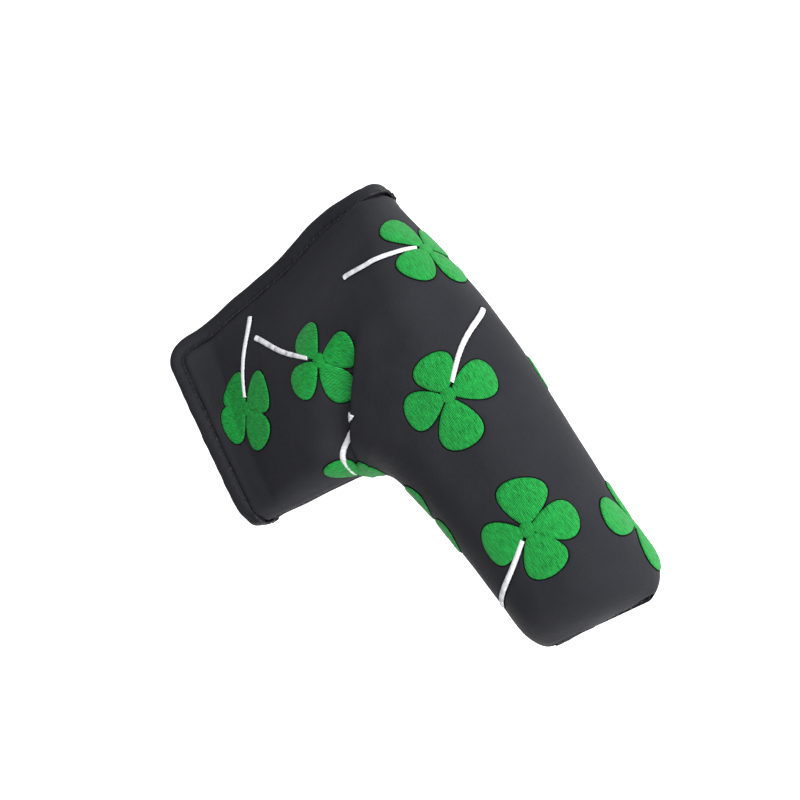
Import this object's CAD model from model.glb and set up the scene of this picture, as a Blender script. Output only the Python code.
"""Padded, embroidered head cover for a blade putter, lying on its back panel.

Shapes are worked out in millimetres in the cover's own outline frame (x from the heel end of the
sole fold towards the heel, y up the neck, z out of the front panel) and placed in the CAD frame
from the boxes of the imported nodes.
"""
import math

import bpy
import numpy as np
from mathutils import Matrix, Vector
from mathutils.kdtree import KDTree


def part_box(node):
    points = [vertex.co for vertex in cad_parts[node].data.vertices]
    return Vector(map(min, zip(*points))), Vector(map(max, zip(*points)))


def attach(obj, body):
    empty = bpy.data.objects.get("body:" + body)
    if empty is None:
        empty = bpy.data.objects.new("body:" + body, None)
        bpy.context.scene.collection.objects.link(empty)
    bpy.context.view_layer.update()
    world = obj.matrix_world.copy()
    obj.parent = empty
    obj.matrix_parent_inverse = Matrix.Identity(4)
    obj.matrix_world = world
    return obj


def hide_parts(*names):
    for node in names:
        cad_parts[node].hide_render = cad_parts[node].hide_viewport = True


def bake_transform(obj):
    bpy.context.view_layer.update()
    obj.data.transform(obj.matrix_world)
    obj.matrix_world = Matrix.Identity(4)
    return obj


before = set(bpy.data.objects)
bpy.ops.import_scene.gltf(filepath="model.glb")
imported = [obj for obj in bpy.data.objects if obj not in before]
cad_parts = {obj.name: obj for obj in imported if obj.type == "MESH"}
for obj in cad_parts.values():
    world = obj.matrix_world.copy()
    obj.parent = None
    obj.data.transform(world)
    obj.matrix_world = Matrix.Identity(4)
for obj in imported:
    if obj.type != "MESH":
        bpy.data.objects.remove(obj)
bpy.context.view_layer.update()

MM = 0.001

# ---- Outline, in millimetres --------------------------------------------------------------------

LEATHER_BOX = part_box("pocket_leather")
SOLE_BOW = 6.0
SOLE_LEN = (LEATHER_BOX[1][0] - LEATHER_BOX[0][0]) / MM
NECK_HEIGHT = (LEATHER_BOX[1][1] - LEATHER_BOX[0][1]) / MM - SOLE_BOW
ORIGIN = np.array([LEATHER_BOX[1][0], LEATHER_BOX[0][1] + SOLE_BOW * MM, 0.0])

HEEL_SOLE = np.array([0.0, 0.0])
HEEL_CORNER = np.array([11.2, 90.9])
NECK_INNER = np.array([-52.0, NECK_HEIGHT])
INNER_CORNER = np.array([-65.2, 53.8])
INNER_ROUND = 11.0
TOE_TOP = np.array([5.5 - SOLE_LEN, 43.0])
TOE_SOLE = np.array([-SOLE_LEN, 0.0])

CREASE_DIR = np.array([0.64, -0.768])

TUBE_HALF = 21.0
HEEL_LIP = 5.5
SOLE_LIP = 10.5
NECK_LIP = 9.0
SOLE_LIP_REACH = 55.0
NECK_LIP_REACH = 36.0
VALLEY_DEPTH = 2.5
VALLEY_WIDTH = 9.0
VALLEY_LEN = 40.0
TOP_BOW = 5.0
MOUTH_SHARE = 0.42
TURN_SHARE = 0.42
# Radii of the rounded sole and of the rounded inner side: at the mouth, and in the blade.
SOLE_TURN = (9.0, 22.0)
INNER_TURN = (8.0, 21.0)
DROOP = 0.72
PRESS = 1.0
REST_LIFT = 0.5
TOE_ROUND = 14.0
HEEL_RISE = 45.0
LIP_FLAT = 0.6
LIP_FLAT_LEN = 35.0
NECK_RISE = 85.0
EDGE_TRIM = 1.3
SOLE_CORNER = (9.0, 0.08)
TOP_CORNER = (6.5, 0.065)
HEEL_ROUND = 6.0
HEEL_BELLY = 1.1
HEEL_HIP = 2.3

# Depths of the layers below the outer face.
LEATHER = 1.0
FOAM = (1.2, 3.2)
LINING = (3.4, 4.3)
TAPE = (4.4, 5.5)

# Each clover: name, place along and around, turns of its leaves, turn, length and bend of its stem.
CLOVERS = [
    ("a", 0.196, 0.062, (30, 120, 206, 307), 249, 30.0, 3.2),
    ("b", 0.476, 0.288, (85, 179, 263, 347), 125, 31.0, 2.0),
    ("c", 0.779, 0.319, (71, 154, 260, 356), 293, 28.0, 1.6),
    ("d", 0.119, 0.481, (36, 154, 240, 325), 185, 39.0, 1.2),
    ("e", -0.320, 0.565, (49, 157, 226, 322), 114, 30.3, 1.5),
    ("f", 0.372, 0.952, (36, 102), 71, 29.0, 3.2),
    ("g", 0.868, -0.045, (68, 158, 248, 349), 115, 20.0, 2),
    ("h", 0.625, 0.957, (45, 135), 0, 0.0, 0),
    ("i", 0.508, -0.20, (0, 90, 180, 270), 45, 14.0, 1),
    ("j", 0.13, -0.50, (40, 130, 220, 310), 85, 24.0, 2),
    ("k", 0.299, -0.30, (20, 110, 200, 290), 245, 15.0, 2),
    ("l", 0.47, -0.77, (45, 135, 225, 315), 90, 18.0, 2),
    ("m", 0.712, -0.47, (25, 115, 205, 295), 70, 22.0, 2),
    ("n", 0.905, -0.70, (55, 145, 235, 325), 280, 20.0, 2),
    ("o", -0.35, -0.52, (15, 105, 195, 285), 60, 22.0, 2),
]
LEAF_LEN = 13.4
LEAF_WIDTH = 12.3
LEAF_BASE = 0.5
LEAF_FLARE = 0.78
# Length and width of the leaves of some clovers, as shares of the usual ones, in their turns' order.
LEAF_SIZES = {
    "b": ((0.98, 0.97), (0.84, 1.05), (0.97, 0.92), (1.05, 1.12)),
    "c": ((0.97, 0.9), (0.93, 1.2), (0.95, 1.0), (0.93, 1.08)),
    "d": ((0.95, 0.9),) * 4,
    "e": ((0.92, 1.2), (0.92, 1.1), (0.92, 1.1), (0.92, 1.2)),
    "f": ((0.85, 0.85),) * 2,
}
LEAF_START = 1.4
STEM_WIDTH = 1.85
STEM_NARROW = 0.7


# ---- Small helpers ------------------------------------------------------------------------------


def ease(x):
    c = np.clip(x, 0, 1)
    return c * c * (3 - 2 * c)


def mix(a, b, k):
    return a + (b - a) * k


def unit(v):
    return v / np.maximum(np.linalg.norm(v, axis=-1, keepdims=True), 1e-9)


def left_of(v):
    return np.stack([-v[..., 1], v[..., 0]], -1)


def bell(x, width):
    return np.exp(-((x / width) ** 2))


def from_line(p, a, b):
    """Distance of points to the left of the line a-b."""
    return (p - a) @ left_of(unit(b - a))


def to_frame(points):
    """Millimetres in the outline frame to metres in the CAD frame."""
    return ORIGIN + np.asarray(points, float) * MM


# ---- The cover's surface ------------------------------------------------------------------------

HEEL_EDGE = np.linalg.norm(HEEL_CORNER - HEEL_SOLE)
NECK_EDGE = np.linalg.norm(NECK_INNER - HEEL_CORNER)
NECK_SIDE = np.linalg.norm(INNER_CORNER - NECK_INNER)
BLADE_TOP = np.linalg.norm(TOE_TOP - INNER_CORNER)


def bent(a, b, c, at, radius):
    """Two straight edges a-b-c walked by length, with the corner b rounded."""
    past = (at - np.linalg.norm(b - a))[..., None]
    first, second = unit(b - a), unit(c - b)
    k = np.clip((past + radius) / (2 * radius), 0, 1)
    p, q = b - first * radius, b + second * radius
    curve = p * (1 - k) ** 2 + b * 2 * k * (1 - k) + q * k * k
    straight = np.where(past < 0, a + first * at[..., None], b + second * past)
    return np.where(np.abs(past) > radius, straight, curve)


def heel_sway(k):
    belly = HEEL_BELLY * np.sin(np.pi * np.clip((k - 0.25) / 0.75, 0, 1)) ** 2
    return -belly - HEEL_HIP * np.sin(np.pi * np.clip(2 * k, 0, 1)) ** 2


def rim(s):
    at = s * (HEEL_EDGE + NECK_EDGE)
    sway = left_of(unit(HEEL_CORNER - HEEL_SOLE)) * heel_sway(at / HEEL_EDGE)[..., None]
    return bent(HEEL_SOLE, HEEL_CORNER, NECK_INNER, at, HEEL_ROUND) + sway


def corner_cut(t, depth, share):
    k = np.clip((t - 1 + share) / share, 0, 1)
    return depth * (1 - np.sqrt(np.maximum(0, 1 - k * k)))


def sole_at(t):
    turn = 4 + INNER_CORNER[0]
    x = np.where(
        t < MOUTH_SHARE,
        turn * t / MOUTH_SHARE,
        mix(turn, -SOLE_LEN, (t - MOUTH_SHARE) / (1 - MOUTH_SHARE)),
    )
    bow = SOLE_BOW * np.sin(np.pi * np.clip(-x / SOLE_LEN, 0, 1) ** 0.7) ** 2.5
    return np.stack([x, corner_cut(t, *SOLE_CORNER) - bow], -1)


def seam_at(t):
    blade = (t - MOUTH_SHARE) / (1 - MOUTH_SHARE)
    at = np.where(t < MOUTH_SHARE, NECK_SIDE * t / MOUTH_SHARE, NECK_SIDE + BLADE_TOP * blade)
    p = bent(NECK_INNER, INNER_CORNER, TOE_TOP, at, INNER_ROUND)
    p[..., 1] -= corner_cut(t, *TOP_CORNER) + TOP_BOW * np.sin(np.pi * np.clip(blade, 0, 1) ** 0.6)
    return p


def beside_crease(p):
    """Place along the crease that runs in from the inner corner, and distance to its neck side."""
    rel = p - INNER_CORNER
    return rel @ CREASE_DIR, rel @ left_of(CREASE_DIR)


def fullness(p):
    """Half thickness of the closed cover over a point of its outline."""
    heel, neck = from_line(p, HEEL_SOLE, HEEL_CORNER), from_line(p, HEEL_CORNER, NECK_INNER)
    near_neck = np.clip(1 - neck / NECK_LIP_REACH, 0, 1)
    near_sole = np.clip(1 - p[..., 1] / SOLE_LIP_REACH, 0, 1)
    lip = np.maximum(mix(HEEL_LIP, SOLE_LIP, near_sole), NECK_LIP * near_neck)
    down, across = beside_crease(p)
    valley = VALLEY_DEPTH * bell(across, VALLEY_WIDTH) * np.clip(1 - down / VALLEY_LEN, 0, 1)
    flatter = 1 + LIP_FLAT * ease(p[..., 1] / LIP_FLAT_LEN)
    heel_k = np.sin(np.pi / 2 * np.clip(heel / HEEL_RISE, 0, 1)) ** flatter
    neck_k = np.sin(np.pi / 2 * np.clip(neck / NECK_RISE, 0, 1))
    return mix(lip, TUBE_HALF, heel_k * neck_k) - valley


def skin(t, a, d=0.0):
    """A point of the cover: t runs from the rim (-1) over the flap fold (0) to the toe (1), a from
    the sole fold (0) over the front (1) or the back (-1) to the inner seam, d is the depth."""
    t, a = np.broadcast_arrays(np.asarray(t, float), np.asarray(a, float))
    row, side, k = np.maximum(t, 0), np.where(a < 0, -1, 1), np.abs(a)
    s_end, n_end = sole_at(row), seam_at(row)
    span = np.linalg.norm(n_end - s_end, axis=-1) - 2 * d
    fill = ease(row / MOUTH_SHARE)
    rs = np.minimum(mix(*SOLE_TURN, fill) - d, TURN_SHARE * span)
    rn = np.minimum(mix(*INNER_TURN, fill) - d, TURN_SHARE * span)
    turn_s, turn_n = np.radians(270 * k), np.radians(270 * (1 - k))
    near_s, near_n = k < 1 / 3, k > 2 / 3
    flat_q = mix(rs, span - rn, 3 * k - 1)
    q = np.where(near_n, span - rn * (1 - np.cos(turn_n)), flat_q)
    q = np.where(near_s, rs * (1 - np.cos(turn_s)), q)
    g = np.where(near_s, np.sin(turn_s), np.where(near_n, np.sin(turn_n), 1.0))
    s = q / span
    flat = s_end + unit(n_end - s_end) * (d + q)[..., None]
    reach = rim(s) - mix(HEEL_SOLE, NECK_INNER, s[..., None])
    out = unit(reach) * (np.maximum(np.linalg.norm(reach, axis=-1) - EDGE_TRIM, 0.2) * t)[..., None]
    p = np.where((t >= 0)[..., None], flat, flat - out)
    toe = np.clip((from_line(p, TOE_TOP, TOE_SOLE) - d) / TOE_ROUND, 0, 1)
    close = np.sqrt(1 - (1 - toe) ** 2)
    full = fullness(p)
    middle = DROOP * full + (1 - DROOP) * TUBE_HALF - PRESS
    z = np.maximum(middle + side * (full - d) * g * close, d + REST_LIFT)
    return np.stack([p[..., 0], p[..., 1], z], -1)


def cover_rows(step, d=0.0):
    """Places along the cover about step apart, closer together where the toe closes."""
    flap = np.linspace(-1, 0, max(int(60 / step), 4))[:-1]
    neck = np.linspace(0, MOUTH_SHARE, max(int(58 / step), 4))[:-1]
    arc = TOE_ROUND * (1 - MOUTH_SHARE) / (BLADE_TOP + 3)
    last = 1 - (1 - MOUTH_SHARE) * d / BLADE_TOP
    blade = np.linspace(MOUTH_SHARE, last - arc, max(int(62 / step), 4))[:-1]
    turn = last - arc * (1 - np.cos(np.linspace(np.pi / 2, 0, max(int(22 / step), 5))))
    return np.concatenate([flap, neck, blade, turn])


# ---- The shaped grid that every piece sits on ---------------------------------------------------

ROWS = cover_rows(0.66)
HALF_COLS = 150
COLS = np.linspace(-1, 1, 2 * HALF_COLS + 1)


def grid_normals(p):
    """Outward normals of a grid whose first and last columns are the same line."""
    loop = p[:, :-1]
    da = np.roll(loop, -1, 1) - np.roll(loop, 1, 1)
    dt = np.gradient(loop, axis=0)
    n = np.cross(da, dt)
    n = unit(n + 1e-6 * unit(loop - loop.mean(1, keepdims=True)))
    return np.concatenate([n, n[:, :1]], 1)


def arc_along(p, axis, backwards=False):
    """Length walked over a grid along an axis, from its first line or from its last."""
    q = np.flip(p, axis) if backwards else p
    steps = np.linalg.norm(np.diff(q, axis=axis), axis=-1)
    first = np.zeros_like(np.take(steps, [0], axis=axis))
    walked = np.concatenate([first, np.cumsum(steps, axis=axis)], axis)
    return np.flip(walked, axis) if backwards else walked


def swell(p, seed, size, height):
    """Smooth uneven height over points, features about size mm across."""
    rng = np.random.default_rng(seed)
    total = np.zeros(p.shape[:-1])
    for _ in range(9):
        wave = unit(rng.normal(size=3)) * 2 * np.pi / (size * rng.uniform(0.7, 1.6))
        total += np.sin(p @ wave + rng.uniform(0, 2 * np.pi))
    return height * total / 3


SIDE_OF = np.where(COLS < 0, -1, 1)[None, :]
BASE = skin(ROWS[:, None], COLS[None, :])
BASE_N = grid_normals(BASE)
FROM_TOE = arc_along(BASE, 0, backwards=True)
HALF = arc_along(BASE[:, HALF_COLS:], 1, backwards=True)
HALF_BACK = arc_along(BASE[:, : HALF_COLS + 1], 1)
FROM_SEAM = np.concatenate([HALF_BACK, HALF[:, 1:]], 1)
TOE_SEAM_IN = 2.6
# Depth and half width of the line a seam pulls in, and height, place and half width of the roll beside it.
SIDE_SEAM = (0.55, 1.1, 0.22, 3.0, 2.0)
TOE_SEAM = (0.4, 0.6, 0.1, 2.4, 1.6)
SEAM_PITCH = 3.0


def pulled_in(away, seam, pull=1.0):
    depth, width, roll, roll_at, roll_width = seam
    return -depth * bell(away, width) * pull + roll * bell(away - roll_at, roll_width)


def shaping():
    """Height added to the base surface: soft dents, seams that pull in and the padding beside them."""
    pocket = (ROWS >= 0)[:, None]
    free = ease(BASE[..., 2] / 3)
    h = swell(BASE, 3, 26, 0.12) + swell(BASE, 8, 9, 0.04)
    seam = np.where(pocket, FROM_SEAM, 99.0)
    pull = 0.8 + 0.2 * np.cos(2 * np.pi * BASE[..., 0] / SEAM_PITCH)
    h += pulled_in(seam, SIDE_SEAM, pull)
    front = SIDE_OF > 0
    toe = np.where(front, np.abs(FROM_TOE - TOE_SEAM_IN), 99.0)
    h += pulled_in(toe, TOE_SEAM)
    return h * free


CREASE_LEN = 47.0
CREASE_BULGE = 1.2
CREASE_DROP = 5.5
CREASE_HANG = 1.8


def crease():
    """The fold where the blade pocket's shoulder hangs over the lower neck panel."""
    down, across = beside_crease(BASE[..., :2])
    strength = ease(down / 14 + 0.3) * ease((CREASE_LEN - down) / 30)
    strength = strength * np.clip(BASE_N[..., 2], 0, 1) * (SIDE_OF > 0)
    wall = ease((across + 1.0) / 3.0) * bell(np.maximum(across - 2.0, 0), 10.0)
    rise = CREASE_BULGE * bell(across + 4.0, 5.0) - CREASE_DROP * wall
    slide = CREASE_HANG * bell(across, 2.2)
    move = np.concatenate([slide[..., None] * left_of(CREASE_DIR), rise[..., None]], -1)
    return move * strength[..., None]


SHAPE = BASE + BASE_N * shaping()[..., None] + crease()
SHAPE_N = grid_normals(SHAPE)


def grid_place(t, a):
    row = np.interp(t, ROWS, np.arange(len(ROWS)))
    col = np.interp(a, COLS, np.arange(len(COLS)))
    i = np.clip(row.astype(int), 0, len(ROWS) - 2)
    j = np.clip(col.astype(int), 0, len(COLS) - 2)
    return i, j, (row - i)[..., None], (col - j)[..., None]


def sample(grid, t, a):
    """The grid's value at places (t, a), between its points."""
    i, j, u, v = grid_place(np.asarray(t, float), np.asarray(a, float))
    upper = mix(grid[i, j], grid[i, j + 1], v)
    lower = mix(grid[i + 1, j], grid[i + 1, j + 1], v)
    return mix(upper, lower, u)


def on_cover(t, a, lift=0.0):
    """Points on the shaped leather, lifted along its normal."""
    n = unit(sample(SHAPE_N, t, a))
    p = sample(SHAPE, t, a) + n * np.asarray(lift, float)[..., None]
    p[..., 2] = np.maximum(p[..., 2], 0.0)
    return p


# ---- Meshes -------------------------------------------------------------------------------------


def grid_faces(rows, cols, first=0, flip=False, wrap=False):
    i, j = np.meshgrid(np.arange(rows - 1), np.arange(cols if wrap else cols - 1), indexing="ij")
    k = (j + 1) % cols
    quads = np.stack([i * cols + j, i * cols + k, (i + 1) * cols + k, (i + 1) * cols + j], -1)
    quads = quads.reshape(-1, 4) + first
    return quads[:, ::-1] if flip else quads


def make_mesh(name, points, faces, material, uv=None, smooth=True):
    mesh = bpy.data.meshes.new(name)
    mesh.from_pydata(to_frame(points).tolist(), [], [list(map(int, f)) for f in faces])
    mesh.update()
    if uv is not None:
        layer = mesh.uv_layers.new(name="Threads")
        loops = np.zeros(len(mesh.loops), np.int64)
        mesh.loops.foreach_get("vertex_index", loops)
        layer.data.foreach_set("uv", uv[loops].astype(np.float32).ravel())
    mesh.polygons.foreach_set("use_smooth", [smooth] * len(mesh.polygons))
    mesh.materials.append(material)
    obj = bpy.data.objects.new(name, mesh)
    bpy.context.scene.collection.objects.link(obj)
    return obj


def slab(top, bottom):
    """Points and faces of a closed slab between two grids of the same size."""
    rows, cols = top.shape[:2]
    base = rows * cols
    index = np.arange(base).reshape(rows, cols)
    border = np.concatenate([index[0, :-1], index[:-1, -1], index[-1, :0:-1], index[:0:-1, 0]])
    after = np.roll(border, -1)
    sides = np.stack([after, border, border + base, after + base], -1)
    faces = np.concatenate([grid_faces(rows, cols), grid_faces(rows, cols, base, flip=True), sides])
    return np.concatenate([top.reshape(-1, 3), bottom.reshape(-1, 3)]), faces


def tube(path, radius, sides=8):
    """Points and faces of a tapered thread along a path; radius has one value for each point."""
    path = np.asarray(path, float)
    tangent = unit(np.gradient(path, axis=0))
    up = np.tile([0.13, 0.27, 0.95], (len(path), 1))
    right = unit(np.cross(tangent, up))
    over = np.cross(right, tangent)
    w = np.linspace(0, 2 * np.pi, sides, endpoint=False)
    ring = right[:, None] * np.cos(w)[None, :, None] + over[:, None] * np.sin(w)[None, :, None]
    points = (path[:, None] + ring * np.asarray(radius)[:, None, None]).reshape(-1, 3)
    faces = [list(f) for f in grid_faces(len(path), sides, wrap=True)]
    faces += [list(range(sides))[::-1], list(range(len(points) - sides, len(points)))]
    return points, faces


def joined(parts):
    """One list of points and faces from several."""
    points, faces, first = [], [], 0
    for p, f in parts:
        points.append(p)
        faces += [[int(v) + first for v in face] for face in f]
        first += len(p)
    return np.concatenate(points), faces


# ---- Materials ----------------------------------------------------------------------------------


class Nodes:
    """A short way to write a node tree."""

    def __init__(self, name, **constants):
        self.material = bpy.data.materials.new(name)
        self.material.use_nodes = True
        self.tree = self.material.node_tree
        self.shader = self.tree.nodes["Principled BSDF"]
        for socket, value in constants.items():
            self.shader.inputs[socket.replace("_", " ")].default_value = value

    def add(self, kind, **settings):
        node = self.tree.nodes.new(kind)
        for key, value in settings.items():
            setattr(node, key, value)
        return node

    def link(self, source, target):
        self.tree.links.new(source, target)
        return self

    def coords(self, scale, uv=False, stretch=(1, 1, 1)):
        if uv:
            source = self.add("ShaderNodeUVMap", uv_map="Threads").outputs["UV"]
        else:
            source = self.add("ShaderNodeTexCoord").outputs["Object"]
        mapping = self.add("ShaderNodeMapping")
        mapping.inputs["Scale"].default_value = [scale * s for s in stretch]
        self.link(source, mapping.inputs["Vector"])
        return mapping.outputs["Vector"]

    def noise(self, vector, scale=1.0, detail=3.0, rough=0.5, distortion=0.0):
        node = self.add("ShaderNodeTexNoise")
        node.inputs["Scale"].default_value = scale
        node.inputs["Detail"].default_value = detail
        node.inputs["Roughness"].default_value = rough
        node.inputs["Distortion"].default_value = distortion
        self.link(vector, node.inputs["Vector"])
        return node.outputs["Fac"]

    def cells(self, vector, scale=1.0, feature="F1"):
        node = self.add("ShaderNodeTexVoronoi", feature=feature)
        node.inputs["Scale"].default_value = scale
        self.link(vector, node.inputs["Vector"])
        return node.outputs["Distance"]

    def wave(self, vector, scale, distortion, detail_scale):
        node = self.add("ShaderNodeTexWave", wave_type="BANDS", bands_direction="Y", wave_profile="SIN")
        node.inputs["Scale"].default_value = scale
        node.inputs["Distortion"].default_value = distortion
        node.inputs["Detail"].default_value = 2.0
        node.inputs["Detail Scale"].default_value = detail_scale
        self.link(vector, node.inputs["Vector"])
        return node.outputs["Fac"]

    def ramp(self, source, stops):
        node = self.add("ShaderNodeValToRGB")
        ramp = node.color_ramp
        while len(ramp.elements) < len(stops):
            ramp.elements.new(0.5)
        for element, (at, colour) in zip(ramp.elements, stops):
            element.position = at
            element.color = (*colour, 1)
        self.link(source, node.inputs["Fac"])
        return node.outputs["Color"]

    def math(self, kind, first, second):
        node = self.add("ShaderNodeMath", operation=kind)
        for socket, value in zip(node.inputs, (first, second)):
            if isinstance(value, (int, float)):
                socket.default_value = value
            else:
                self.link(value, socket)
        return node.outputs[0]

    def multiply(self, first, second, share=1.0):
        node = self.add("ShaderNodeMix", data_type="RGBA", blend_type="MULTIPLY")
        node.inputs[0].default_value = share
        self.link(first, node.inputs[6])
        self.link(second, node.inputs[7])
        return node.outputs[2]

    def bump(self, height, depth, strength=1.0, after=None):
        node = self.add("ShaderNodeBump")
        node.inputs["Strength"].default_value = strength
        node.inputs["Distance"].default_value = depth
        self.link(height, node.inputs["Height"])
        if after is not None:
            self.link(after, node.inputs["Normal"])
        return node.outputs["Normal"]

    def finish(self, colour=None, rough=None, normal=None):
        for source, socket in ((colour, "Base Color"), (rough, "Roughness"), (normal, "Normal")):
            if source is not None:
                self.link(source, self.shader.inputs[socket])
        return self.material


def grey(value, blue=1.0):
    return (value, value, value * blue)


def leather_material(name, dark, light, grain, rough_low, rough_high):
    """Smooth matte faux leather: fine pebble grain, faint cloudiness and uneven sheen."""
    m = Nodes(name, Specular_IOR_Level=0.1, IOR=1.45)
    clouds = m.noise(m.coords(90), detail=4)
    fine = m.noise(m.coords(2600), detail=3, rough=0.6)
    tone = m.ramp(clouds, [(0.3, dark), (0.7, light)])
    flecks = m.ramp(fine, [(0.25, grey(0.82)), (0.6, grey(1.0))])
    colour = m.multiply(tone, flecks)
    pebble = m.cells(m.coords(1500), feature="SMOOTH_F1")
    soft = m.noise(m.coords(420), detail=2)
    normal = m.bump(soft, 0.00022, 0.5)
    normal = m.bump(pebble, 0.00009 * grain, 0.8, normal)
    normal = m.bump(fine, 0.00004 * grain, 0.8, normal)
    rough = m.ramp(clouds, [(0.2, grey(rough_low)), (0.8, grey(rough_high))])
    return m.finish(colour, rough, normal)


def thread_material(name, base, deep, pitch, sheen, contrast):
    """Embroidery: parallel glossy threads, each with its own shade, with dark gaps and needle specks."""
    m = Nodes(name, Specular_IOR_Level=0.2, Sheen_Weight=sheen, Sheen_Roughness=0.4)
    place = m.coords(1.0, uv=True)
    rows = m.wave(place, 0.159 / pitch * 2, 1.6, 1.3)
    streaks = m.noise(m.coords(1.0, uv=True, stretch=(0.42, 2.6, 1)), scale=1.0, detail=3, rough=0.65)
    specks = m.noise(m.coords(1.0, uv=True, stretch=(1.3, 2.3, 1)), scale=1.15, detail=1)
    lit = tuple(min(1, c * 1.35 + 0.01) for c in base)
    tone = m.ramp(streaks, [(0.3, deep), (0.52, base), (0.75, lit)])
    gaps = m.ramp(rows, [(0.0, grey(1 - contrast)), (0.38, grey(1.0))])
    holes = m.ramp(specks, [(0.24, grey(1 - 0.9 * contrast)), (0.36, grey(1.0))])
    colour = m.multiply(m.multiply(tone, gaps), holes)
    height = m.math("ADD", m.math("MULTIPLY", rows, 0.6), m.math("MULTIPLY", streaks, 0.7))
    normal = m.bump(height, 0.00022, 0.9)
    return m.finish(colour, m.ramp(streaks, [(0.2, grey(0.5)), (0.8, grey(0.72))]), normal)


def plush_material():
    """Short dense pile: dark, soft and lit at its tips."""
    m = Nodes("plush_lining", Sheen_Weight=0.6, Sheen_Roughness=0.5, Specular_IOR_Level=0.2)
    tufts = m.noise(m.coords(1100), detail=5, rough=0.7)
    locks = m.noise(m.coords(240), detail=3)
    colour = m.multiply(
        m.ramp(tufts, [(0.3, grey(0.006)), (0.62, grey(0.035, 1.1))]),
        m.ramp(locks, [(0.3, grey(0.6)), (0.7, grey(1.0))]),
    )
    normal = m.bump(locks, 0.0008, 0.6)
    normal = m.bump(tufts, 0.0006, 0.9, normal)
    return m.finish(colour, m.ramp(tufts, [(0.2, grey(0.8)), (0.8, grey(0.95))]), normal)


def foam_material():
    """Open-cell sheet foam."""
    m = Nodes("foam", Specular_IOR_Level=0.2)
    cells = m.cells(m.coords(1400))
    colour = m.ramp(cells, [(0.0, grey(0.1)), (0.5, grey(0.34))])
    rough = m.ramp(cells, [(0, grey(0.85)), (1, grey(0.95))])
    return m.finish(colour, rough, m.bump(cells, 0.0004, 0.8))


def tape_material(name, scale, depth):
    """Woven nylon base with rows of hooks or a mat of loops."""
    m = Nodes(name, Specular_IOR_Level=0.5, Sheen_Weight=0.2)
    rows = m.cells(m.coords(scale))
    mat = m.noise(m.coords(scale * 1.7), detail=3)
    colour = m.multiply(
        m.ramp(rows, [(0.1, grey(0.05)), (0.6, grey(0.012))]),
        m.ramp(mat, [(0.3, grey(0.7)), (0.7, grey(1.0))]),
    )
    return m.finish(colour, m.ramp(mat, [(0.2, grey(0.45)), (0.8, grey(0.7))]), m.bump(rows, depth, 0.9))


PANEL = leather_material("charcoal_leather", (0.0195, 0.02, 0.0245), (0.0235, 0.024, 0.029), 1.0, 0.6, 0.75)
BINDING = leather_material("hem_leather", (0.017, 0.0175, 0.0215), (0.021, 0.0215, 0.026), 1.6, 0.55, 0.7)
EDGE = leather_material("pulled_leather", (0.003, 0.003, 0.004), (0.005, 0.005, 0.006), 1.0, 0.8, 0.9)
GREEN = thread_material("green_thread", (0.010, 0.37, 0.056), (0.003, 0.13, 0.018), 0.42, 0.02, 0.7)
WHITE = thread_material("white_thread", (0.86, 0.86, 0.9), (0.7, 0.7, 0.76), 0.45, 0.15, 0.22)
BLACK = thread_material("black_thread", (0.012, 0.012, 0.014), (0.006, 0.006, 0.007), 0.3, 0.2, 0.4)
PLUSH = plush_material()
PADDING = foam_material()
HOOKS = tape_material("hook_tape", 900, 0.0006)
LOOPS = tape_material("loop_tape", 1700, 0.0004)


# ---- How pieces move ----------------------------------------------------------------------------

FOLD_DIR = unit(NECK_INNER - HEEL_SOLE)
TO_HEEL = np.array([FOLD_DIR[1], -FOLD_DIR[0], 0.0])


def across_fold(piece):
    """The piece stays with the pocket up to the fold and goes with the flap beyond it."""
    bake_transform(piece)
    return piece


FLAPS = {"front": ("front_flap", 1), "back": ("back_flap", -1)}


def half_columns(side):
    return slice(HALF_COLS, None) if side > 0 else slice(0, HALF_COLS + 1)


# ---- The rim ------------------------------------------------------------------------------------

RIM_STEP = 0.6
STITCH_AT = -2.5
STITCH_PITCH = 3.4
STITCH_GROOVE = (1.1, 0.85, 0.2, 2.2, 1.3)
UNDER_HEM = 0.85
EMBROIDERY_PULL = 0.35
EMBROIDERY_MARGIN = 0.55


def smooth_loop(values, sigma):
    """A closed list of vectors smoothed by a bell about sigma entries wide."""
    reach = np.arange(-int(3 * sigma), int(3 * sigma) + 1)
    weights = np.exp(-0.5 * (reach / sigma) ** 2)
    weights /= weights.sum()
    return sum(w * np.roll(values, int(r), 0) for w, r in zip(weights, reach))


def rim_loop():
    """The cut edge of the layers round the mouth, with its frames: back rim first, then front."""
    a = np.linspace(-1, 1, 1201)[:-1]
    p, n = on_cover(np.full(a.shape, -1.0), a), unit(sample(SHAPE_N, np.full(a.shape, -0.97), a))
    closed_a, closed_p, closed_n = np.append(a, 1.0), np.append(p, p[:1], 0), np.append(n, n[:1], 0)
    steps = np.linalg.norm(np.diff(closed_p, axis=0), axis=1)
    walked = np.concatenate([[0], np.cumsum(steps)])
    count = int(walked[-1] / RIM_STEP)
    at = np.linspace(0, walked[-1], count, endpoint=False)
    place = np.interp(at, walked, closed_a)
    points = np.stack([np.interp(at, walked, closed_p[:, k]) for k in range(3)], -1)
    normals = np.stack([np.interp(at, walked, closed_n[:, k]) for k in range(3)], -1)
    points, normals = smooth_loop(points, 2.5), unit(smooth_loop(unit(normals), 5.0))
    tangent = unit(np.roll(points, -1, 0) - np.roll(points, 1, 0))
    out = unit(np.cross(tangent, normals))
    if (out @ TO_HEEL).mean() < 0:
        out = -out
    square = np.cross(out, tangent)
    normals = unit(square * np.sign((square * normals).sum(-1))[:, None])
    level = level_out(place, tangent)
    level_n = np.cross(level, tangent)
    level_n = unit(level_n * np.sign((level_n * normals).sum(-1))[:, None])
    return at, place, points, (out, normals), (level, level_n)


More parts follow.
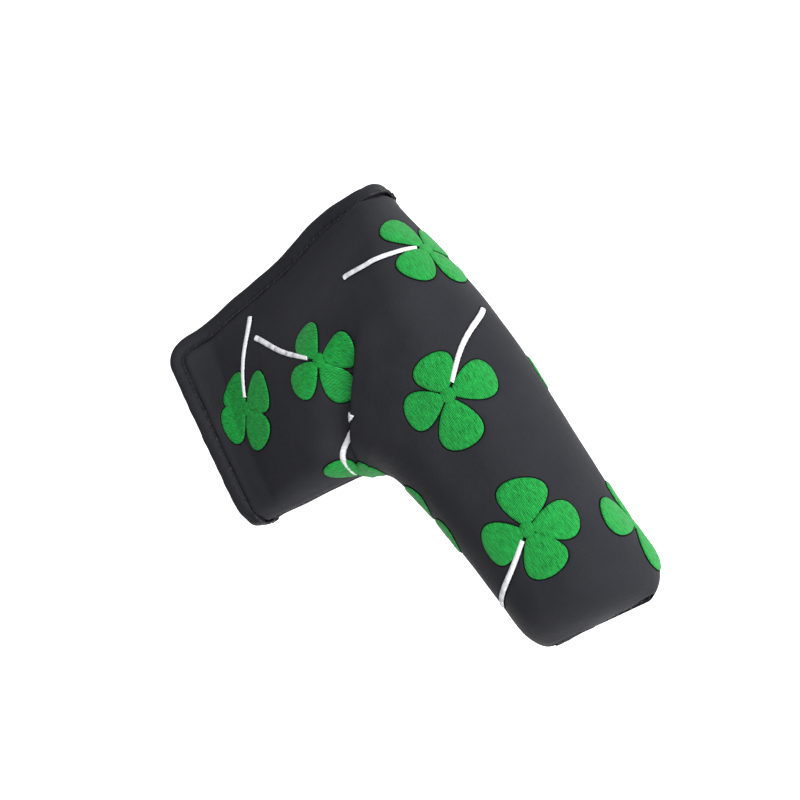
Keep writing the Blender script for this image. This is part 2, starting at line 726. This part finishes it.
def rim_share(a):
    """How far along the mouth's straight line the column a of the rim lies."""
    k = np.abs(a)
    span = np.linalg.norm(NECK_INNER - HEEL_SOLE)
    rs, rn = SOLE_TURN[0], INNER_TURN[0]
    turn_s, turn_n = np.radians(270 * k), np.radians(270 * (1 - k))
    q = np.where(k > 2 / 3, span - rn * (1 - np.cos(turn_n)), mix(rs, span - rn, 3 * k - 1))
    return np.where(k < 1 / 3, rs * (1 - np.cos(turn_s)), q) / span


def level_out(place, tangent):
    """Directions straight out of the rim's flat outline, made square to the rim."""
    s = rim_share(place)
    v = rim(np.minimum(s + 0.004, 1.0)) - rim(np.maximum(s - 0.004, 0.0))
    level = np.stack([v[:, 1], -v[:, 0], np.zeros(len(v))], -1)
    level = unit(smooth_loop(unit(level), 5.0))
    return unit(level - tangent * (level * tangent).sum(-1, keepdims=True))


RIM_AT, RIM_A, RIM_P, (RIM_OUT, RIM_N), (LEVEL_OUT, LEVEL_N) = rim_loop()


def rim_point(index, x, y):
    """A point beside the rim: x outwards from the cut edge, y up from the leather."""
    level = ease((x + 1.2) / 2.0)[..., None]
    out = unit(mix(RIM_OUT[index], LEVEL_OUT[index], level))
    up = unit(mix(RIM_N[index], LEVEL_N[index], level))
    return RIM_P[index] + out * x[..., None] + up * y[..., None]


def rim_distance(points):
    """Distance of points from the cut edge and how far round the rim the nearest place is."""
    tree = KDTree(len(RIM_P))
    for i, p in enumerate(RIM_P):
        tree.insert(p, i)
    tree.balance()
    found = [tree.find(p) for p in points]
    return np.array([f[2] for f in found]), np.array([f[1] for f in found])


# ---- Leather panels -----------------------------------------------------------------------------


def embroidery_tree():
    leaves = [leaf_outline(c, *leaf) for c in CLOVERS for leaf in zip(c[3], leaf_sizes(c))]
    outlines = np.concatenate(leaves + [stem_outline(c) for c in CLOVERS if c[5] > 0])
    tree = KDTree(len(outlines))
    for i, p in enumerate(outlines):
        tree.insert(p, i)
    tree.balance()
    return tree


def pressed_leather():
    """The shaped grid with its fine lines: the stitch groove and the pull of the embroidery."""
    h = np.zeros(SHAPE.shape[:2])
    flap = np.nonzero((ROWS < 0.1)[:, None] & np.ones_like(h, bool))
    away, place = rim_distance(SHAPE[flap])
    pull = 0.72 + 0.28 * np.cos(2 * np.pi * RIM_AT[place] / STITCH_PITCH)
    line = away + STITCH_AT
    h[flap] = np.where(line < 0, -UNDER_HEM, pulled_in(line, STITCH_GROOVE, pull))
    near = embroidery_tree()
    points = SHAPE.reshape(-1, 3)
    gap = np.array([near.find(p)[2] for p in points]).reshape(h.shape)
    h += -EMBROIDERY_PULL * bell(gap, EMBROIDERY_MARGIN)
    p = SHAPE + SHAPE_N * h[..., None]
    p[..., 2] = np.maximum(p[..., 2], 0.0)
    return p


def layer_grid(side, d, rows, cols):
    """Points of a layer at depth d, following the shaped leather."""
    t, a = rows[:, None], side * cols[None, :]
    t, a = np.broadcast_arrays(t, a)
    offset = sample(SHAPE - BASE, t, a)
    return skin(t, a, d) + offset


def leather_pieces():
    full = pressed_leather()
    normals = grid_normals(full)
    for name, (flap, side) in FLAPS.items():
        part = half_columns(side)
        top, top_n = full[:, part], normals[:, part]
        rows, cols = np.broadcast_arrays(ROWS[:, None], COLS[None, part])
        bottom = skin(rows, cols, LEATHER) + (SHAPE - BASE)[:, part]
        points, faces = slab(top, bottom)
        obj = make_mesh(f"leather_{name}", points, faces, PANEL)
        all_normals = np.concatenate([top_n.reshape(-1, 3), -top_n.reshape(-1, 3)])
        obj.data.normals_split_custom_set_from_vertices(all_normals.tolist())
        across_fold(obj)
        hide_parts(f"{flap}_leather", "pocket_leather")


def layer_pieces():
    """Foam and plush lining, each in a front and a back half."""
    cols = np.linspace(0, 1, 64)
    for name, (flap, side) in FLAPS.items():
        for layer, (top_d, bottom_d), material, slot, step in (
            ("foam", FOAM, PADDING, "foam", 2.0),
            ("lining", LINING, PLUSH, "plush_lining", 1.2),
        ):
            rows = cover_rows(step, bottom_d)
            top, bottom = layer_grid(side, top_d, rows, cols), layer_grid(side, bottom_d, rows, cols)
            if layer == "lining":
                bottom += swell(bottom, 21, 1.9, 0.16)[..., None] * np.array([0, 0, side])
            if side < 0:
                top, bottom = top[:, ::-1], bottom[:, ::-1]
            points, faces = slab(top, bottom)
            obj = make_mesh(f"{layer}_{name}", points, faces, material)
            across_fold(obj)
            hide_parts(f"{flap}_{layer}", f"pocket_{layer}")


# ---- Hem, topstitches and closure ---------------------------------------------------------------

HEM_OUTER = [
    (-2.45, -1.0), (-2.2, -0.25), (-1.2, 0.32), (0.5, 0.5), (1.75, 0.05), (2.4, -1.2),
    (2.3, -2.8), (1.5, -4.2), (-0.1, -4.85), (-2.2, -4.9), (-3.6, -4.5),
]
HEM_THICK = 0.7


def smooth_path(knots, count):
    """A smooth path through a few knots."""
    knots = np.asarray(knots, float)
    padded = np.concatenate([2 * knots[:1] - knots[1:2], knots, 2 * knots[-1:] - knots[-2:-1]])
    u = np.linspace(0, len(knots) - 1, count)
    i = np.minimum(u.astype(int), len(knots) - 2)
    f = (u - i)[:, None]
    p0, p1, p2, p3 = (padded[i + k] for k in range(4))
    bend = (2 * p0 - 5 * p1 + 4 * p2 - p3) * f**2
    twist = (3 * p1 - p0 - 3 * p2 + p3) * f**3
    return 0.5 * (2 * p1 + (p2 - p0) * f + bend + twist)


def hem_profile():
    """The folded binding's closed section: its outer face, then its inner face back."""
    outer = smooth_path(HEM_OUTER, 24)
    inner = outer - left_of(unit(np.gradient(outer, axis=0))) * HEM_THICK
    return np.concatenate([outer, inner[::-1]])


def hem_pieces():
    profile = hem_profile()
    count = len(RIM_P)
    start = int(np.argmin(np.abs(RIM_A)))
    order = {"front": np.arange(start, count + 1) % count, "back": np.arange(0, start + 1)}
    for name, (flap, _) in FLAPS.items():
        index = order[name]
        at = RIM_AT[index][:, None]
        x, y = np.broadcast_to(profile[:, 0], (len(index), len(profile))), profile[:, 1][None, :]
        share = np.clip(np.linspace(0, 1, len(profile)) * 2, 0, 1)[None, :]
        pull = np.cos(2 * np.pi * at / STITCH_PITCH) * bell(share - 0.08, 0.12)
        uneven = swell(RIM_P[index], 31, 7, 0.07)[:, None] * np.sin(np.pi * share)
        points = rim_point(index[:, None], x + uneven * 0.6, y + uneven - 0.1 * pull)
        points[..., 2] = np.maximum(points[..., 2], 0.0)
        rings, around = len(index), len(profile)
        faces = [list(f) for f in grid_faces(rings, around, wrap=True)]
        faces += [list(range(around))[::-1], list(range((rings - 1) * around, rings * around))]
        obj = make_mesh(f"hem_{name}", points.reshape(-1, 3), faces, BINDING)
        flip_if_inside_out(obj)
        across_fold(obj)
        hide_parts(f"{name}_hem", "sole_hem_turn", "neck_hem_turn")


def flip_if_inside_out(obj):
    """Turns a closed mesh the right way out."""
    mesh = obj.data
    total = 0.0
    for p in mesh.polygons:
        total += p.center.dot(p.normal) * p.area
    middle = sum((v.co for v in mesh.vertices), Vector()) / len(mesh.vertices)
    total -= sum(middle.dot(p.normal) * p.area for p in mesh.polygons)
    if total < 0:
        mesh.flip_normals()


def thread_piece(name, parts, node):
    """Stitches joined in one piece of black thread."""
    points, faces = joined(parts)
    obj = make_mesh(name, points, faces, BLACK, uv=points[:, :2])
    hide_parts(node)
    return obj


def topstitch_pieces():
    """The topstitch that lies in the groove: a thin line of thread, thick where the needle went in."""
    start = int(np.argmin(np.abs(RIM_A)))
    count = len(RIM_P)
    for name, (flap, _) in FLAPS.items():
        first, last = (start + 4, count - 4) if name == "front" else (4, start - 4)
        at = np.arange(first, last, 0.5)
        index = at.astype(int)
        f = (at - index)[:, None]
        base, out, up = (mix(v[index], v[(index + 1) % count], f) for v in (RIM_P, RIM_OUT, RIM_N))
        beat = (at * RIM_STEP / STITCH_PITCH) % 1.0 - 0.5
        needle = bell(beat, 0.15)
        path = base + out * (STITCH_AT - 0.12) + up * (-0.42 + 0.16 * needle)[:, None]
        thread = tube(path, 0.2 + 0.2 * needle)
        across_fold(thread_piece(f"topstitch_{name}", [thread], f"{name}_topstitch"))


def tape_pieces():
    """Hook strip on the front flap and loop strip on the back one, sewn along their long edges."""
    for kind, material, (flap, side) in (
        ("hook", HOOKS, FLAPS["front"]),
        ("loop", LOOPS, FLAPS["back"]),
    ):
        rows, cols = np.linspace(-0.93, -0.55, 46), np.linspace(0.42, 0.53, 60)
        top, bottom = layer_grid(side, TAPE[0], rows, cols), layer_grid(side, TAPE[1], rows, cols)
        edge = np.minimum(*np.meshgrid(hem_fade(46), hem_fade(60), indexing="ij"))
        nap = swell(bottom, 41, 1.1, 0.12) * edge
        depth = bottom - top
        bottom += depth * (0.35 * (edge - 1))[..., None] - unit(depth) * (nap + 0.1)[..., None]
        if side < 0:
            top, bottom = top[:, ::-1], bottom[:, ::-1]
        points, faces = slab(top, bottom)
        obj = make_mesh(f"{kind}_strip", points, faces, material)
        across_fold(obj)
        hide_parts(f"{kind}_tape")
        parts = []
        for v in (-0.90, -0.58):
            for a in np.linspace(0.428, 0.518, 11):
                around = np.linspace(a, a + 0.0055, 5)
                path = layer_grid(side, TAPE[1] - 0.15, np.full(1, v), around)[0]
                parts.append(tube(path, np.array([0.1, 0.22, 0.24, 0.22, 0.1])))
        across_fold(thread_piece(f"{kind}_strip_stitches", parts, f"{kind}_tape_thread"))


def hem_fade(n):
    k = np.linspace(0, 1, n)
    return ease(np.minimum(k, 1 - k) * n / 4)


# ---- Seams --------------------------------------------------------------------------------------


def seam_pieces():
    """The toe seam's pinch stitches and the stitches along the blade top and the neck's inner side."""
    parts = []
    inside = np.linspace(TOE_SEAM_IN - 0.9, TOE_SEAM_IN + 0.9, 7)
    for k in np.linspace(0.1, 0.9, 13):
        column = HALF_COLS + int(k * HALF_COLS)
        t = np.interp(inside, FROM_TOE[::-1, column], ROWS[::-1])
        path = on_cover(t, np.full(t.shape, COLS[column]), np.full(t.shape, 0.1))
        parts.append(tube(path, np.full(7, 0.2)))
    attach(thread_piece("toe_seam_stitches", parts, "toe_seam_thread"), "pocket")
    parts = []
    for t0 in np.linspace(0.02, 0.93, 44):
        t = np.linspace(t0, t0 + 0.013, 6)
        path = on_cover(t, np.full(6, 1.0), np.array([-0.15, 0.1, 0.18, 0.18, 0.1, -0.15]))
        parts.append(tube(path, np.full(6, 0.22)))
    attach(thread_piece("top_seam_stitches", parts, "top_seam_thread"), "pocket")


# ---- Embroidery ---------------------------------------------------------------------------------

WALK_STEPS = 6
WALK_FIXES = 2
SEAM_STOP = 0.985


def slide(t, a, shift):
    """The change of t and a that moves points by a shift, and the part of it along the face."""
    h = 0.0008
    pt, pa = (skin(t + h, a) - skin(t - h, a)) / (2 * h), (skin(t, a + h) - skin(t, a - h)) / (2 * h)
    ee, ff, gg = (pt * pt).sum(-1), (pt * pa).sum(-1), (pa * pa).sum(-1)
    det = np.maximum(ee * gg - ff * ff, 1e-9)
    u, w = (shift * pt).sum(-1), (shift * pa).sum(-1)
    dt, da = (gg * u - ff * w) / det, (ee * w - ff * u) / det
    return dt, da, pt * dt[..., None] + pa * da[..., None]


def walk(t, a, direction, length):
    """Places reached by walking over the outer face, each from its own start along its own direction."""
    step = (length / WALK_STEPS)[..., None]
    for _ in range(WALK_STEPS):
        goal = skin(t, a) + direction * step
        for _ in range(1 + WALK_FIXES):
            dt, da, _along = slide(t, a, goal - skin(t, a))
            t, a = t + dt, a + da
        direction = unit(slide(t, a, direction)[2])
    return t, a


def outward(t, a):
    da = skin(t, a + 0.01) - skin(t, a - 0.01)
    dt = skin(t + 0.005, a) - skin(t - 0.005, a)
    return unit(np.cross(da, dt))


def clover_places(clover, x, y):
    """Where points of a clover's flat pattern (x, y in mm from its centre) lie on the cover."""
    t0, a0 = clover[1], clover[2]
    n0 = outward(np.array(t0), np.array(a0))
    e1 = unit(skin(t0 + 0.004, a0) - skin(t0 - 0.004, a0))
    e2 = np.cross(n0, e1)
    turn = np.arctan2(y, x)
    direction = e1 * np.cos(turn)[..., None] + e2 * np.sin(turn)[..., None]
    t, a = walk(np.full(x.shape, t0), np.full(x.shape, a0), direction, np.hypot(x, y))
    low, high = (-2.0, 2.0) if t0 < 0 or clover[0] in CROSSING else (0.004, 2.0)
    return np.clip(t, low, high), np.clip(a, -SEAM_STOP, SEAM_STOP)


CROSSING = ("d",)


def turned(x, y, degrees):
    w = math.radians(degrees)
    return x * math.cos(w) - y * math.sin(w), x * math.sin(w) + y * math.cos(w)


def leaf_sizes(clover):
    return LEAF_SIZES.get(clover[0], ((1.0, 1.0),) * len(clover[3]))


def leaf_shape(w, scale, size):
    """A rounded teardrop: w goes round its edge, scale shrinks it towards its middle."""
    k = (1 - np.cos(w)) / 2
    x = LEAF_START + size[0] * LEAF_LEN * mix(0.55, k, scale)
    return x, size[1] * scale * LEAF_WIDTH / 2 * np.sin(w) * (LEAF_BASE + LEAF_FLARE * k)


def leaf_outline(clover, turn, size):
    w = np.linspace(0, 2 * np.pi, 48, endpoint=False)
    x, y = turned(*leaf_shape(w, 1.0, size), turn)
    return on_cover(*clover_places(clover, x, y))


# Share of the leaf's outline and height of each ring of its cushion.
RINGS = [
    (0.0, 0.56), (0.16, 0.55), (0.32, 0.54), (0.48, 0.53), (0.62, 0.52), (0.75, 0.5),
    (0.86, 0.46), (0.94, 0.38), (1.0, 0.2), (1.02, -0.1), (1.0, -0.35),
]
LEAF_AROUND = 64


def leaf_part(clover, turn, size, first):
    """One satin-filled leaf: a low cushion of thread with a rounded edge."""
    w = np.linspace(0, 2 * np.pi, LEAF_AROUND, endpoint=False)
    scale, height = (np.array([r[k] for r in RINGS]) for k in (0, 1))
    ww, ss = np.meshgrid(w, np.maximum(scale, 0.001))
    x, y = leaf_shape(ww, ss, size)
    x, y = turned(x, y, turn)
    flat = np.stack([x, y, np.zeros_like(x)], -1)
    h = height[:, None] * np.ones_like(x)
    rough = swell(flat, 51 + first, 1.5, 0.035) + swell(flat, 61 + first, 4.0, 0.03)
    h = h + rough * (scale < 0.97)[:, None]
    t, a = clover_places(clover, x, y)
    points = on_cover(t, a, h)
    faces = list(grid_faces(len(RINGS), LEAF_AROUND, wrap=True, flip=True))
    stopped = (np.abs(a) >= SEAM_STOP).reshape(-1)
    faces = [f for f in faces if not all(stopped[v] for v in f)]
    return points.reshape(-1, 3), faces, np.stack([x, y], -1).reshape(-1, 2)


HUB = 2.3
HUB_AROUND = 24


def hub_part(clover):
    w = np.linspace(0, 2 * np.pi, HUB_AROUND, endpoint=False)
    scale = np.array([0.001, 0.5, 0.85, 1.0, 1.0])
    height = np.array([0.5, 0.49, 0.42, 0.2, -0.3])
    ww, ss = np.meshgrid(w, scale * HUB)
    x, y = ss * np.cos(ww), ss * np.sin(ww)
    t, a = clover_places(clover, x, y)
    points = on_cover(t, a, height[:, None] * np.ones_like(x))
    faces = list(grid_faces(len(scale), HUB_AROUND, wrap=True, flip=True))
    return points.reshape(-1, 3), faces, np.stack([x, y], -1).reshape(-1, 2)


def clover_leaves(clover):
    leaves = zip(clover[3], leaf_sizes(clover))
    parts = [leaf_part(clover, turn, size, k) for k, (turn, size) in enumerate(leaves)]
    if len(clover[3]) == 4:
        parts.append(hub_part(clover))
    points, faces = joined([(p, f) for p, f, _ in parts])
    uv = np.concatenate([u for _, _, u in parts])
    return make_mesh(f"clover_{clover[0]}_patch", points, faces, GREEN, uv=uv)


def stem_bend(clover, k):
    return clover[6] * np.sin(np.pi * np.clip(k, 0, 1)) ** 1.5


def stem_outline(clover):
    k = np.linspace(0.12, 1, 48)
    points = []
    for side in (-1, 1):
        w = side * STEM_WIDTH / 2 * mix(STEM_NARROW, 1, k)
        x, y = turned(clover[5] * k, stem_bend(clover, k) + w, clover[4])
        points.append(on_cover(*clover_places(clover, x, y)))
    return np.concatenate(points)


STEM_SECTION = [
    (-1.0, -0.3), (-1.02, 0.1), (-0.8, 0.42), (-0.4, 0.56), (0.0, 0.6),
    (0.4, 0.56), (0.8, 0.42), (1.02, 0.1), (1.0, -0.3),
]


def clover_stem(clover):
    """A satin-stitched stem, ridged across, with a slightly ragged edge and a square end."""
    rng = np.random.default_rng(70 + ord(clover[0]))
    k = np.linspace(0.12, 1, 141)
    section = np.array(STEM_SECTION)
    ridge = 0.5 + 0.5 * np.cos(2 * np.pi * k * clover[5] / 0.5)
    ragged = 1 + rng.normal(size=(len(k), 1)) * 0.035
    width = STEM_WIDTH / 2 * mix(STEM_NARROW, 1, k)[:, None] * ragged
    along = clover[5] * k[:, None] * np.ones((1, len(section)))
    across = stem_bend(clover, k)[:, None] + width * section[:, 0][None, :]
    height = section[:, 1][None, :] + (ridge[:, None] - 0.5) * 0.12 * (section[:, 1] > 0)[None, :]
    x, y = turned(along, across, clover[4])
    points = on_cover(*clover_places(clover, x, y), height)
    n = len(section)
    faces = [list(f) for f in grid_faces(len(k), n, wrap=True)]
    faces += [list(range(n))[::-1], [(len(k) - 1) * n + i for i in range(n)]]
    uv = np.stack([across, along], -1).reshape(-1, 2)
    obj = make_mesh(f"clover_{clover[0]}_satin_stem", points.reshape(-1, 3), faces, WHITE, uv=uv)
    flip_if_inside_out(obj)
    return obj


EDGE_RINGS = [(0.96, 0.1), (1.03, 0.1), (1.065, 0.03), (1.075, -0.3)]
EDGE_SECTION = [(-1.2, -0.3), (-1.16, 0.08), (1.16, 0.08), (1.2, -0.3)]


def leaf_edge(clover, turn, size):
    """The leather pulled down round one leaf, seen as a thin dark line."""
    w = np.linspace(0, 2 * np.pi, LEAF_AROUND, endpoint=False)
    scale, height = (np.array([r[k] for r in EDGE_RINGS]) for k in (0, 1))
    ww, ss = np.meshgrid(w, scale)
    x, y = turned(*leaf_shape(ww, ss, size), turn)
    t, a = clover_places(clover, x, y)
    points = on_cover(t, a, height[:, None] * np.ones_like(x))
    stopped = (np.abs(a) >= SEAM_STOP).reshape(-1)
    faces = grid_faces(len(EDGE_RINGS), LEAF_AROUND, wrap=True, flip=True)
    return points.reshape(-1, 3), [f for f in faces if not all(stopped[v] for v in f)]


def stem_edge(clover):
    k = np.linspace(0.13, 1.012, 70)
    section = np.array(EDGE_SECTION)
    width = STEM_WIDTH / 2 * mix(STEM_NARROW, 1, k)[:, None]
    along = clover[5] * k[:, None] * np.ones((1, len(section)))
    across = stem_bend(clover, k)[:, None] + width * section[:, 0][None, :]
    x, y = turned(along, across, clover[4])
    points = on_cover(*clover_places(clover, x, y), section[:, 1][None, :] * np.ones_like(x))
    return points.reshape(-1, 3), grid_faces(len(k), len(section), wrap=True)


def clover_edges(clover):
    parts = [leaf_edge(clover, *leaf) for leaf in zip(clover[3], leaf_sizes(clover))]
    if clover[5] > 0:
        parts.append(stem_edge(clover))
    points, faces = joined(parts)
    return make_mesh(f"clover_{clover[0]}_edge", points, faces, EDGE)


def embroidery_pieces():
    for clover in CLOVERS:
        name, t0, a0 = clover[0], clover[1], clover[2]
        made = [clover_leaves(clover)]
        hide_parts(f"clover_{name}_leaves")
        if clover[5] > 0:
            made.append(clover_stem(clover))
            nodes = [n for n in sorted(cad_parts) if n.startswith(f"clover_{name}_stem")]
            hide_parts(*nodes)
        made.append(clover_edges(clover))
        for piece in made:
            if t0 < 0 or name in CROSSING:
                across_fold(piece)
            else:
                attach(piece, "pocket")


# ---- Stage, light and camera --------------------------------------------------------------------


def floor():
    """A pale floor well below the part, so that both flaps are free to open."""
    size, z = 6.0, -0.09
    mesh = bpy.data.meshes.new("floor")
    corners = [(-size, -size, z), (size, -size, z), (size, size, z), (-size, size, z)]
    mesh.from_pydata(corners, [], [(0, 1, 2, 3)])
    m = Nodes("floor_white", Roughness=0.9, Specular_IOR_Level=0.1, Emission_Strength=0.75)
    m.shader.inputs["Emission Color"].default_value = (1, 1, 1, 1)
    m.shader.inputs["Base Color"].default_value = (0.93, 0.93, 0.93, 1)
    mesh.materials.append(m.material)
    obj = bpy.data.objects.new("floor", mesh)
    bpy.context.scene.collection.objects.link(obj)


def area_light(name, place, aim, size, power):
    light = bpy.data.lights.new(name, "AREA")
    light.shape, light.size, light.energy = "DISK", size, power
    obj = bpy.data.objects.new(name, light)
    obj.location = place
    obj.rotation_euler = (Vector(aim) - Vector(place)).to_track_quat("-Z", "Y").to_euler()
    bpy.context.scene.collection.objects.link(obj)


WORLD_LIGHT = 0.3


def lights():
    world = bpy.data.worlds.new("studio")
    world.use_nodes = True
    world.node_tree.nodes["Background"].inputs["Color"].default_value = (1, 1, 1, 1)
    world.node_tree.nodes["Background"].inputs["Strength"].default_value = WORLD_LIGHT
    bpy.context.scene.world = world
    centre = (0.0, 0.0, 0.02)
    area_light("key", (-0.05, -0.6, 0.7), centre, 1.0, 11.0)
    area_light("fill", (-0.6, -0.25, 0.4), centre, 0.8, 3.5)


# The camera: how far it leans away from straight above, about which line, its roll, distance and
# lens, and how far it pans and nods away from the point it circles.
LEAN = 28.25
LEAN_LINE = -6.39
ROLL = 51.01
DISTANCE = 401.39
SENSOR = 36.0
LENS = 59.6475
AIM = np.array([-62.0, 43.0, 15.0])
PAN = 0.0951
NOD = 1.5557


def camera():
    lean, line, roll = (math.radians(v) for v in (-LEAN, LEAN_LINE, ROLL))
    tilt = np.array(Matrix.Rotation(lean, 3, Vector((math.sin(line), math.cos(line), 0))))
    turn = np.array(
        [[-math.cos(roll), -math.sin(roll), 0], [math.sin(roll), -math.cos(roll), 0], [0, 0, 1]]
    )
    axes = tilt @ turn
    place = AIM + axes[2] * DISTANCE
    pan, nod = math.radians(PAN), math.radians(NOD)
    local = Matrix.Rotation(-pan, 3, "Y") @ Matrix.Rotation(nod, 3, "X")
    world = Matrix([list(column) for column in axes.T]) @ local
    data = bpy.data.cameras.new("camera")
    data.sensor_width = SENSOR
    data.lens = LENS
    data.clip_start, data.clip_end = 0.01, 50
    obj = bpy.data.objects.new("camera", data)
    obj.matrix_world = Matrix.Translation(Vector(to_frame(place))) @ world.to_4x4()
    bpy.context.scene.collection.objects.link(obj)
    bpy.context.scene.camera = obj


def build():
    leather_pieces()
    layer_pieces()
    hem_pieces()
    topstitch_pieces()
    tape_pieces()
    seam_pieces()
    embroidery_pieces()
    floor()
    lights()
    camera()
    bpy.context.scene.view_settings.view_transform = "Standard"
    bpy.context.view_layer.update()


build()
